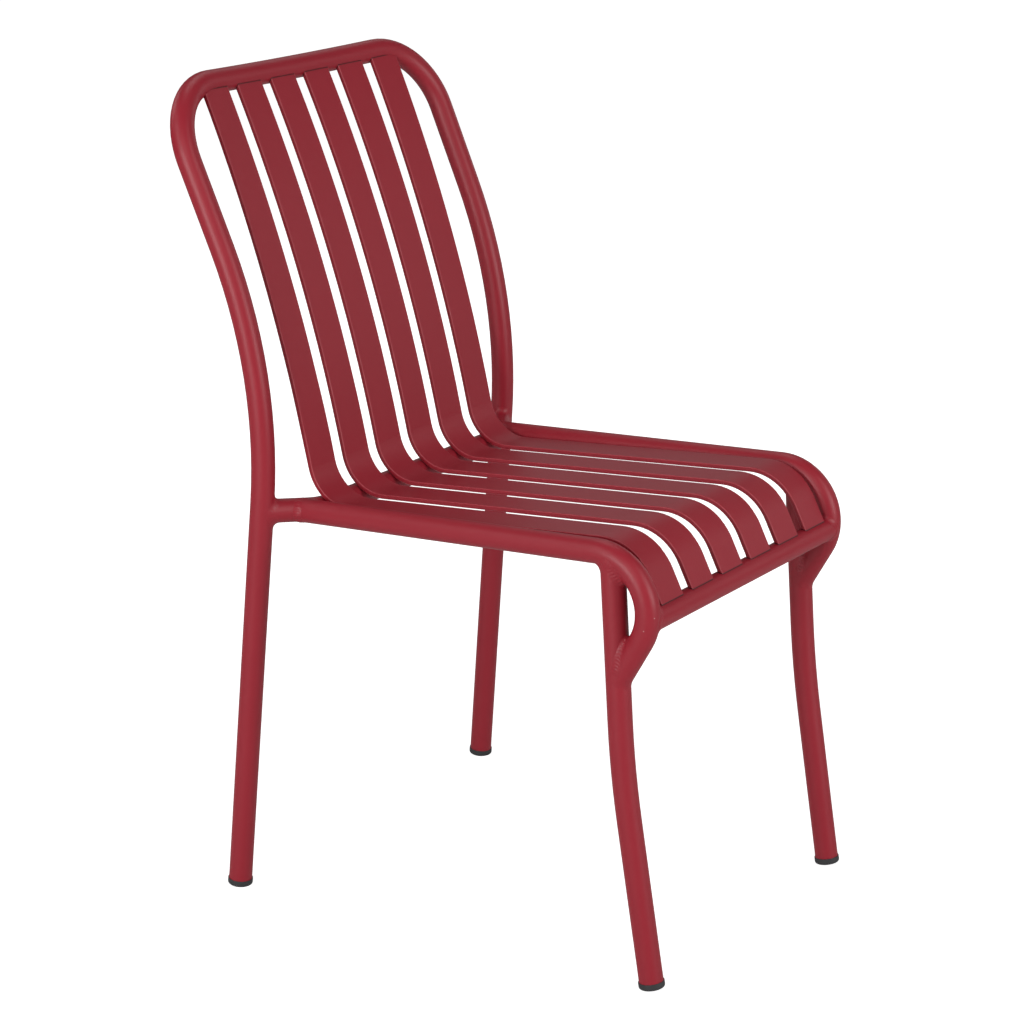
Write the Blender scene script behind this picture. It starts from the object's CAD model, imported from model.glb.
import bpy
import math
from mathutils import Matrix, Vector, geometry


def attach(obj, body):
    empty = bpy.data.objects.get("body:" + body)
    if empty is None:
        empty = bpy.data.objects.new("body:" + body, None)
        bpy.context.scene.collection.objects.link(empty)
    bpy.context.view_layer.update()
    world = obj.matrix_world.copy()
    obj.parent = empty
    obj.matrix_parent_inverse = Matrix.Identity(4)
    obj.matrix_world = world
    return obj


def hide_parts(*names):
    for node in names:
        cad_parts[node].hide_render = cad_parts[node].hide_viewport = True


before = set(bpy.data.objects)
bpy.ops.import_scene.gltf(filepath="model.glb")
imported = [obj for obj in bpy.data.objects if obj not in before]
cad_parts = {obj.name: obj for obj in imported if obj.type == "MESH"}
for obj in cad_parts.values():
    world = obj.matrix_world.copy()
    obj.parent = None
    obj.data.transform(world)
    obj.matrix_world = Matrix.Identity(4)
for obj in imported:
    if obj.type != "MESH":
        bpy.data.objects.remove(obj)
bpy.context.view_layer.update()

# Camera, solved from the outlines of the tubes in the photo
camera_place = (-2.3405, -1.6095, 1.2857)
camera_azimuth = -55.422
camera_elevation = 17.358
camera_lens = 98.585
camera_sensor = 36
camera_clip_end = 100

# Colours, linear
paint_dark = (0.29, 0.0134, 0.0248, 1)
paint_light = (0.31, 0.0145, 0.0268, 1)
edge_colour = (0.42, 0.060, 0.075, 1)
joint_colour = (0.060, 0.006, 0.008, 1)
plastic_colour = (0.030, 0.030, 0.032, 1)
primer_colour = (0.46, 0.20, 0.21, 1)
floor_colour = (0.65, 0.65, 0.65, 1)
world_colour = (1, 1, 1, 1)

# Powder coat: how fine its drift of colour and its orange peel are, how deep the peel is, and its gloss,
# and how rough the glides' plastic is
drift_scale = 14
drift_detail = 4
peel_scale = 900
peel_detail = 3
peel_strength = 0.25
peel_depth = 0.0004
paint_roughness = 0.43
paint_gloss = 0.38
plastic_roughness = 0.55

# Slats as they lie side by side, how far their paint is thin in from an edge,
# how far sideways a face looks before it counts as the slat's side, and how far a joint darkens it
slat_pitch = 0.057
slat_width = 0.040
edge_reach = 0.0012
side_from = 0.88
side_full = 0.98
joint_reach = 0.0014

# Two small chips that the photo shows on the near rail's bend, bare over a share of their radius
chipped_node = "side_rail_right"
chip_places = [(-0.18706, -0.29019, 0.39105), (-0.19333, -0.28197, 0.37807)]
chip_radius = 0.0008
chip_bare_share = 0.6

# Centre lines of the tubes on the left, in metres
tube_radius = 0.0125
feet_y = -0.0431
rear_foot = Vector((0.225, feet_y + 0.2482, 0))
rear_knee = Vector((0.213, feet_y + 0.1982, 0.570))
rear_cross_height = 0.4244
rear_cross_corner = Vector((0.1607, feet_y + 0.1771, 0.4190))
rear_cross_radius = 0.054
rail_x = 0.181
rail_corner = Vector((rail_x, feet_y - 0.2793, 0.4508))
rail_radius = 0.0555
rail_end_height = 0.3174
front_knee = Vector((0.1826, feet_y - 0.2104, 0.224))
front_top = Vector((rail_x, feet_y - 0.1952, 0.440))
front_cross_turn = math.radians(99)
crown = Vector((0.2166, feet_y + 0.3250, 0.849))
crown_radius = 0.076
crown_bow = math.radians(4.15)
no_bow_radius = 1000000.0
arc_steps = 32

# Welds: the rings and rows of their mesh, how far and how finely the seam is looked for,
# how far it lies off the two tubes, and the shape of the bead and of the hidden root
weld_rings = 256
weld_across = 9
weld_hidden = 3
weld_search = 22
weld_reach = 0.07
seam_lift = 0.0004
seam_lift_other = 0.0009
flush_power = 4
hollow_depth = 0.0010
bead_fade = 0.006
ripple_pitch = 0.0034
ripple_bow = 20
weld_skin = 0.00005
edge_sink = 0.0009
root_sink = 0.0034
weld_smooth = math.radians(50)

# Floor and world: how they glow to the camera, and how the world lights the chair
floor_size = 30
floor_near = 0.5
floor_far = 1.6
floor_glow_near = 0.82
floor_glow_far = 1.0
world_light = 0.08
world_seen = 1.0

# Lights: square softboxes on a dome round the chair, each with its bearing, its height angle and its power
light_reach = 3.5
light_size = 1.4
light_aim = Vector((0, 0, 0.45))
light_plan = [
    ("front", 272, 12, 48),
    ("front_high", 276, 38, 17),
    ("left", 178, 12, 63),
    ("front_left", 210, 38, 15),
    ("rear_left", 150, 38, 17),
    ("right_rim", 330, 12, 5.2),
    ("far_right_rim", 0, 12, 6),
    ("rear_rim_low", 30, 12, 1.5),
    ("rear_rim", 30, 38, 4),
    ("rear_rim_high", 40, 64, 14),
    ("behind", 95, 30, 11),
]


# A straight run, a rounded corner and a second straight run as a row of points
def rounded_run(before, corner, after, radius):
    way_in = (corner - before).normalized()
    way_out = (after - corner).normalized()
    turn = way_in.angle(way_out)
    run = radius * math.tan(turn / 2)
    inward = (way_out - way_in * way_out.dot(way_in)).normalized()
    arc_start = corner - way_in * run
    points = [before]
    for step in range(arc_steps + 1):
        angle = turn * step / arc_steps
        forward = way_in * (radius * math.sin(angle))
        points.append(arc_start + forward + inward * (radius * (1 - math.cos(angle))))
    points.append(after)
    return points


# The point of a row of points and straight runs that lies nearest to a place
def nearest_on(points, place):
    best = None
    for first, second in zip(points, points[1:]):
        foot, share = geometry.intersect_point_line(place, first, second)
        foot = first.lerp(second, min(max(share, 0), 1))
        if best is None or (foot - place).length_squared < (best - place).length_squared:
            best = foot
    return best


# Rear cross member, side rail and front leg
leg_way = (rear_knee - rear_foot).normalized()
rear_cross_end = rear_foot + leg_way * (rear_cross_height / leg_way.z)
far_corner = Vector((-rear_cross_corner.x, rear_cross_corner.y, rear_cross_corner.z))
rear_cross_points = rounded_run(rear_cross_end, rear_cross_corner, far_corner, rear_cross_radius)
cross_way = (rear_cross_corner - rear_cross_end).normalized()
rail_start = rear_cross_end + cross_way * ((rail_x - rear_cross_end.x) / cross_way.x)
front_rise = (front_top - front_knee).normalized()
rail_end = front_knee + front_rise * ((rail_end_height - front_knee.z) / front_rise.z)
rail_points = rounded_run(rail_start, rail_corner, rail_end, rail_radius)
hoop_points = [rear_foot, rear_knee]
leg_points = [front_knee, front_top]

# Front cross tube, which meets the rail in its bend
rail_way = (rail_corner - rail_start).normalized()
curl_way = (rail_end - rail_corner).normalized()
curl_down = (curl_way - rail_way * curl_way.dot(rail_way)).normalized()
curl_start = rail_corner - rail_way * (rail_radius * math.tan(rail_way.angle(curl_way) / 2))
front_cross_forward = rail_way * (rail_radius * math.sin(front_cross_turn))
front_cross_drop = curl_down * (rail_radius * (1 - math.cos(front_cross_turn)))
front_cross_end = curl_start + front_cross_forward + front_cross_drop
front_cross_middle = Vector((0, front_cross_end.y, front_cross_end.z))

# Top rail, bowed backward
stile_way = (crown - rear_knee).normalized()
back_normal = Vector((0, stile_way.z, -stile_way.y)).normalized()
crown_way = Vector((-math.cos(crown_bow), 0, 0)) + back_normal * math.sin(crown_bow)
crown_high = crown + crown_way * (crown_radius * math.tan(stile_way.angle(crown_way) / 2))
top_rail_radius = crown_high.x / math.sin(crown_bow)
top_rail_rise = crown_high.x * math.tan(crown_bow / 2)
top_rail_middle = Vector((0, crown_high.y, crown_high.z)) + back_normal * top_rail_rise

# The tubes that the slats' ends meet: the middle, the way backward and the radius of the bow
cross_tubes = [
    (top_rail_middle, back_normal, top_rail_radius),
    (front_cross_middle, Vector((0, 1, 0)), no_bow_radius),
]


# A new material, with its nodes, its links and its shader
def new_material(name):
    material = bpy.data.materials.new(name)
    material.use_nodes = True
    nodes = material.node_tree.nodes
    return material, nodes, material.node_tree.links, nodes["Principled BSDF"]


# A colour laid over another where a mask says
def laid_over(nodes, links, under, colour, mask):
    mix = nodes.new("ShaderNodeMix")
    mix.data_type = "RGBA"
    mix.inputs["B"].default_value = colour
    links.new(under, mix.inputs["A"])
    links.new(mask, mix.inputs["Factor"])
    return mix.outputs["Result"]


# A value that goes from 0 at one limit to 1 at the other
def ramp(nodes, links, value, at_zero, at_one):
    limits = nodes.new("ShaderNodeMapRange")
    limits.inputs["From Min"].default_value = at_zero
    limits.inputs["From Max"].default_value = at_one
    links.new(value, limits.inputs["Value"])
    return limits.outputs["Result"]


# A sum on one socket alone, on a socket and a number, or on two sockets
def maths(nodes, links, operation, first, second):
    node = nodes.new("ShaderNodeMath")
    node.operation = operation
    links.new(first, node.inputs[0])
    if isinstance(second, float):
        node.inputs[1].default_value = second
    elif second is not None:
        links.new(second, node.inputs[1])
    return node.outputs["Value"]


# A step of vector maths on a socket and a fixed vector
def vector_maths(nodes, links, operation, first, second):
    node = nodes.new("ShaderNodeVectorMath")
    node.operation = operation
    links.new(first, node.inputs[0])
    if second is not None:
        node.inputs[1].default_value = second
    return node


# The skin that every painted piece has: a small drift of the colour and a fine orange peel
def make_coat_skin():
    skin = bpy.data.node_groups.new("powder_coat_skin", "ShaderNodeTree")
    skin.interface.new_socket("Place", in_out="INPUT", socket_type="NodeSocketVector")
    skin.interface.new_socket("Drift Scale", in_out="INPUT", socket_type="NodeSocketFloat")
    skin.interface.new_socket("Peel Scale", in_out="INPUT", socket_type="NodeSocketFloat")
    skin.interface.new_socket("Dark", in_out="INPUT", socket_type="NodeSocketColor")
    skin.interface.new_socket("Light", in_out="INPUT", socket_type="NodeSocketColor")
    skin.interface.new_socket("Colour", in_out="OUTPUT", socket_type="NodeSocketColor")
    skin.interface.new_socket("Peel", in_out="OUTPUT", socket_type="NodeSocketFloat")
    given = skin.nodes.new("NodeGroupInput")
    put_out = skin.nodes.new("NodeGroupOutput")
    drift = skin.nodes.new("ShaderNodeTexNoise")
    drift.inputs["Detail"].default_value = drift_detail
    skin.links.new(given.outputs["Place"], drift.inputs["Vector"])
    skin.links.new(given.outputs["Drift Scale"], drift.inputs["Scale"])
    tint = skin.nodes.new("ShaderNodeMix")
    tint.data_type = "RGBA"
    skin.links.new(drift.outputs["Fac"], tint.inputs["Factor"])
    skin.links.new(given.outputs["Dark"], tint.inputs["A"])
    skin.links.new(given.outputs["Light"], tint.inputs["B"])
    skin.links.new(tint.outputs["Result"], put_out.inputs["Colour"])
    peel = skin.nodes.new("ShaderNodeTexNoise")
    peel.inputs["Detail"].default_value = peel_detail
    skin.links.new(given.outputs["Place"], peel.inputs["Vector"])
    skin.links.new(given.outputs["Peel Scale"], peel.inputs["Scale"])
    skin.links.new(peel.outputs["Fac"], put_out.inputs["Peel"])
    return skin


coat_skin = make_coat_skin()


# How far each place is from the centre line of a tube that runs across the chair, bowed or straight
def from_cross_tube(nodes, links, place, middle, backward, bow_radius):
    upward = Vector((1, 0, 0)).cross(backward)
    offset = vector_maths(nodes, links, "SUBTRACT", place, middle).outputs["Vector"]
    apart = nodes.new("ShaderNodeSeparateXYZ")
    links.new(offset, apart.inputs["Vector"])
    squared = maths(nodes, links, "MULTIPLY", apart.outputs["X"], apart.outputs["X"])
    sag = maths(nodes, links, "MULTIPLY", squared, 0.5 / bow_radius)
    behind = vector_maths(nodes, links, "DOT_PRODUCT", offset, backward).outputs["Value"]
    above = vector_maths(nodes, links, "DOT_PRODUCT", offset, upward).outputs["Value"]
    flat = nodes.new("ShaderNodeCombineXYZ")
    links.new(maths(nodes, links, "ADD", behind, sag), flat.inputs["X"])
    links.new(above, flat.inputs["Y"])
    return vector_maths(nodes, links, "LENGTH", flat.outputs["Vector"], None).outputs["Value"]


# Satin powder coat, chipped to the primer at the places given
def powder_coat(name, chips):
    material, nodes, links, shader = new_material(name)
    place = nodes.new("ShaderNodeTexCoord").outputs["Object"]
    skin = nodes.new("ShaderNodeGroup")
    skin.node_tree = coat_skin
    skin.inputs["Drift Scale"].default_value = drift_scale
    skin.inputs["Peel Scale"].default_value = peel_scale
    skin.inputs["Dark"].default_value = paint_dark
    skin.inputs["Light"].default_value = paint_light
    links.new(place, skin.inputs["Place"])
    bump = nodes.new("ShaderNodeBump")
    bump.inputs["Strength"].default_value = peel_strength
    bump.inputs["Distance"].default_value = peel_depth
    links.new(skin.outputs["Peel"], bump.inputs["Height"])
    links.new(bump.outputs["Normal"], shader.inputs["Normal"])
    colour = skin.outputs["Colour"]
    for chip in chips:
        reach = vector_maths(nodes, links, "DISTANCE", place, chip).outputs["Value"]
        bare = ramp(nodes, links, reach, chip_radius, chip_radius * chip_bare_share)
        colour = laid_over(nodes, links, colour, primer_colour, bare)
    links.new(colour, shader.inputs["Base Color"])
    shader.inputs["Roughness"].default_value = paint_roughness
    shader.inputs["Specular IOR Level"].default_value = paint_gloss
    return material


# The slats' coat is thin along their edges, and dark where their ends meet the top rail and the front tube
def slat_coat(name):
    material = powder_coat(name, [])
    nodes = material.node_tree.nodes
    links = material.node_tree.links
    shader = nodes["Principled BSDF"]
    place = nodes["Texture Coordinate"].outputs["Object"]
    colour = shader.inputs["Base Color"].links[0].from_socket
    apart = nodes.new("ShaderNodeSeparateXYZ")
    links.new(place, apart.inputs["Vector"])
    across = maths(nodes, links, "PINGPONG", apart.outputs["X"], slat_pitch / 2)
    edge = (slat_pitch - slat_width) / 2
    near_edge = ramp(nodes, links, across, edge + edge_reach, edge)
    surface = nodes.new("ShaderNodeNewGeometry")
    facing = nodes.new("ShaderNodeSeparateXYZ")
    links.new(surface.outputs["Normal"], facing.inputs["Vector"])
    sideways = maths(nodes, links, "ABSOLUTE", facing.outputs["X"], None)
    not_side = ramp(nodes, links, sideways, side_full, side_from)
    thin = maths(nodes, links, "MULTIPLY", near_edge, not_side)
    colour = laid_over(nodes, links, colour, edge_colour, thin)
    for middle, backward, bow_radius in cross_tubes:
        reach = from_cross_tube(nodes, links, place, middle, backward, bow_radius)
        at_joint = ramp(nodes, links, reach, tube_radius + joint_reach, tube_radius + joint_reach / 2)
        colour = laid_over(nodes, links, colour, joint_colour, at_joint)
    links.new(colour, shader.inputs["Base Color"])
    return material


# Black plastic of the glides
def glide_plastic(name):
    material, nodes, links, shader = new_material(name)
    shader.inputs["Base Color"].default_value = plastic_colour
    shader.inputs["Roughness"].default_value = plastic_roughness
    return material


paint = powder_coat("frame_paint_look", [])
chipped_paint = powder_coat("chipped_paint_look", chip_places)
slat_paint = slat_coat("slat_paint_look")
plastic = glide_plastic("glide_plastic_look")
for node_name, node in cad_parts.items():
    look = paint
    if node_name.startswith("glide"):
        look = plastic
    if node_name.startswith("slat"):
        look = slat_paint
    if node_name == chipped_node:
        look = chipped_paint
    for material_slot in node.material_slots:
        material_slot.material = look


# The active piece's faces are turned outward
def face_outward():
    bpy.ops.object.mode_set(mode="EDIT")
    bpy.ops.mesh.select_all(action="SELECT")
    bpy.ops.mesh.normals_make_consistent(inside=False)
    bpy.ops.object.mode_set(mode="OBJECT")


# The seam of a weld: places round the joining tube where it meets the other one, each with its way outward
def weld_seam(start, way, other):
    around = way.to_track_quat("Z", "Y").to_matrix()
    seam = []
    for ring in range(weld_rings):
        angle = 2 * math.pi * ring / weld_rings
        out = around @ Vector((math.cos(angle), math.sin(angle), 0))
        base = start + out * (tube_radius + seam_lift)
        near = 0.0
        far = weld_reach
        for search in range(weld_search):
            middle = (near + far) / 2
            place = base + way * middle
            if (place - nearest_on(other, place)).length < tube_radius + seam_lift_other:
                near = middle
            else:
                far = middle
        seam.append((base + way * near, out))
    return seam


# A weld: a ring that starts as a torus and is laid into the corner between two tubes,
# hollow where it was ground and rippled where the bead was left
def weld(name, start, way, other, width, other_width, side_width, bead_from, bulge, ripple):
    bpy.ops.object.select_all(action="DESELECT")
    bpy.ops.mesh.primitive_torus_add(major_segments=weld_rings, minor_segments=weld_across + weld_hidden,
                                     major_radius=tube_radius, minor_radius=other_width)
    piece = bpy.context.object
    piece.name = name
    seam = weld_seam(start, way, other)
    run = 0.0
    for ring in range(weld_rings):
        place, out = seam[ring]
        after = seam[(ring + 1) % weld_rings][0]
        along = (after - seam[ring - 1][0]).normalized()
        other_out = (place - nearest_on(other, place)).normalized()
        up = along.cross(out).normalized()
        if up.dot(way) < 0:
            up.negate()
        down = along.cross(other_out).normalized()
        if down.dot(out) < 0:
            down.negate()
        flush = max(0.0, out.dot(other_out)) ** flush_power
        left_proud = min(max(((place - start).dot(way) - bead_from) / bead_fade, 0.0), 1.0)
        high = place + up * (width * (1 - flush) + side_width * flush)
        low = place + down * (other_width * (1 - flush) + side_width * flush)
        high_axis = start + way * (high - start).dot(way)
        high = high_axis + (high - high_axis).normalized() * (tube_radius + weld_skin)
        low_axis = nearest_on(other, low)
        low = low_axis + (low - low_axis).normalized() * (tube_radius + weld_skin)
        lift = (out + other_out).normalized()
        corner = place - lift * (hollow_depth * (1 - flush))
        row = []
        for step in range(weld_across):
            share = step / (weld_across - 1)
            spot = high * (1 - share) ** 2 + corner * (2 * share * (1 - share)) + low * share ** 2
            hump = 4 * share * (1 - share)
            phase = 2 * math.pi * run / ripple_pitch + ripple_bow * (share - 0.5) ** 2
            wave = 0.5 + 0.5 * math.cos(phase)
            row.append(spot + lift * (hump * left_proud * (bulge + ripple * wave)))
        row.append(low - (low - low_axis).normalized() * edge_sink)
        row.append(place - lift * root_sink)
        row.append(high - (high - high_axis).normalized() * edge_sink)
        for step, spot in enumerate(row):
            piece.data.vertices[ring * len(row) + step].co = spot
        run += (after - place).length
    face_outward()
    bpy.ops.object.shade_smooth_by_angle(angle=weld_smooth)
    piece.data.materials.append(paint)
    return piece


# Each weld: where its tube starts, which way that tube runs from there, the other tube,
# the weld's widths on the one, on the other and at the sides, how far from the start the bead is left,
# and the heights of its bulge and of its ripple
weld_plan = [
    ("hoop", rear_cross_end, cross_way, hoop_points, 0.0065, 0.0060, 0.0028, 0, 0.0001, 0.00015),
    ("rail", rail_start, rail_way, rear_cross_points, 0.0045, 0.0045, 0.0034, 0, 0.0004, 0.00040),
    ("leg", front_top, -front_rise, rail_points, 0.0070, 0.0055, 0.0034, 0, 0.0003, 0.00050),
    ("curl", rail_end, -curl_way, leg_points, 0.0045, 0.0045, 0.0036, 0.009, 0.0007, 0.00060),
    ("front", front_cross_end, Vector((-1, 0, 0)), rail_points, 0.0040, 0.0035, 0.0026, 0, 0.0003, 0.00015),
]
for weld_name, *weld_values in weld_plan:
    left = weld(f"bead_{weld_name}_left", *weld_values)
    bpy.ops.object.select_all(action="DESELECT")
    left.select_set(True)
    bpy.context.view_layer.objects.active = left
    bpy.ops.object.duplicate()
    right = bpy.context.object
    right.name = f"bead_{weld_name}_right"
    right.data.transform(Matrix.Scale(-1, 4, (1, 0, 0)))
    face_outward()
    for piece, side in ((left, "left"), (right, "right")):
        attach(piece, "root")
        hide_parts(f"weld_{weld_name}_{side}")

# Floor: pale, with a glow that only the camera sees
bpy.ops.object.select_all(action="DESELECT")
bpy.ops.mesh.primitive_plane_add(size=floor_size, location=(0, 0, 0))
floor = bpy.context.object
floor.name = "floor"
floor_material, floor_nodes, floor_links, floor_shader = new_material("floor_look")
floor_shader.inputs["Base Color"].default_value = floor_colour
floor_shader.inputs["Roughness"].default_value = 1.0
floor_shader.inputs["Specular IOR Level"].default_value = 0.0
floor_glow = floor_nodes.new("ShaderNodeEmission")
floor_seen = floor_nodes.new("ShaderNodeLightPath")
floor_place = floor_nodes.new("ShaderNodeTexCoord")
floor_reach = vector_maths(floor_nodes, floor_links, "LENGTH", floor_place.outputs["Object"], None)
floor_fade = floor_nodes.new("ShaderNodeMapRange")
floor_fade.inputs["From Min"].default_value = floor_near
floor_fade.inputs["From Max"].default_value = floor_far
floor_fade.inputs["To Min"].default_value = floor_glow_near
floor_fade.inputs["To Max"].default_value = floor_glow_far
floor_links.new(floor_reach.outputs["Value"], floor_fade.inputs["Value"])
floor_lift = maths(floor_nodes, floor_links, "MULTIPLY", floor_seen.outputs["Is Camera Ray"],
                   floor_fade.outputs["Result"])
floor_links.new(floor_lift, floor_glow.inputs["Strength"])
floor_sum = floor_nodes.new("ShaderNodeAddShader")
floor_links.new(floor_shader.outputs["BSDF"], floor_sum.inputs[0])
floor_links.new(floor_glow.outputs["Emission"], floor_sum.inputs[1])
floor_links.new(floor_sum.outputs["Shader"], floor_nodes["Material Output"].inputs["Surface"])
floor.data.materials.append(floor_material)

# World: white to the camera, soft studio grey to everything else
world = bpy.data.worlds.new("studio")
bpy.context.scene.world = world
world.use_nodes = True
world_nodes = world.node_tree.nodes
world_links = world.node_tree.links
background = world_nodes["Background"]
background.inputs["Color"].default_value = world_colour
seen = world_nodes.new("ShaderNodeLightPath")
strength = world_nodes.new("ShaderNodeMix")
strength.data_type = "FLOAT"
strength.inputs["A"].default_value = world_light
strength.inputs["B"].default_value = world_seen
world_links.new(seen.outputs["Is Camera Ray"], strength.inputs["Factor"])
world_links.new(strength.outputs["Result"], background.inputs["Strength"])

for light_name, bearing, rise, power in light_plan:
    light = bpy.data.lights.new(light_name, "AREA")
    light.shape = "SQUARE"
    light.size = light_size
    light.energy = power
    lamp = bpy.data.objects.new(light_name, light)
    bpy.context.scene.collection.objects.link(lamp)
    flat = light_reach * math.cos(math.radians(rise))
    lamp.location = light_aim + Vector((flat * math.cos(math.radians(bearing)),
                                        flat * math.sin(math.radians(bearing)),
                                        light_reach * math.sin(math.radians(rise))))
    lamp.rotation_euler = (light_aim - lamp.location).to_track_quat("-Z", "Y").to_euler()

camera_data = bpy.data.cameras.new("camera")
camera = bpy.data.objects.new("camera", camera_data)
bpy.context.scene.collection.objects.link(camera)
camera.location = camera_place
camera.rotation_euler = (math.radians(90 - camera_elevation), 0, math.radians(camera_azimuth))
camera_data.lens = camera_lens
camera_data.sensor_width = camera_sensor
camera_data.sensor_fit = "HORIZONTAL"
camera_data.clip_end = camera_clip_end
bpy.context.scene.camera = camera
bpy.context.scene.view_settings.view_transform = "Standard"
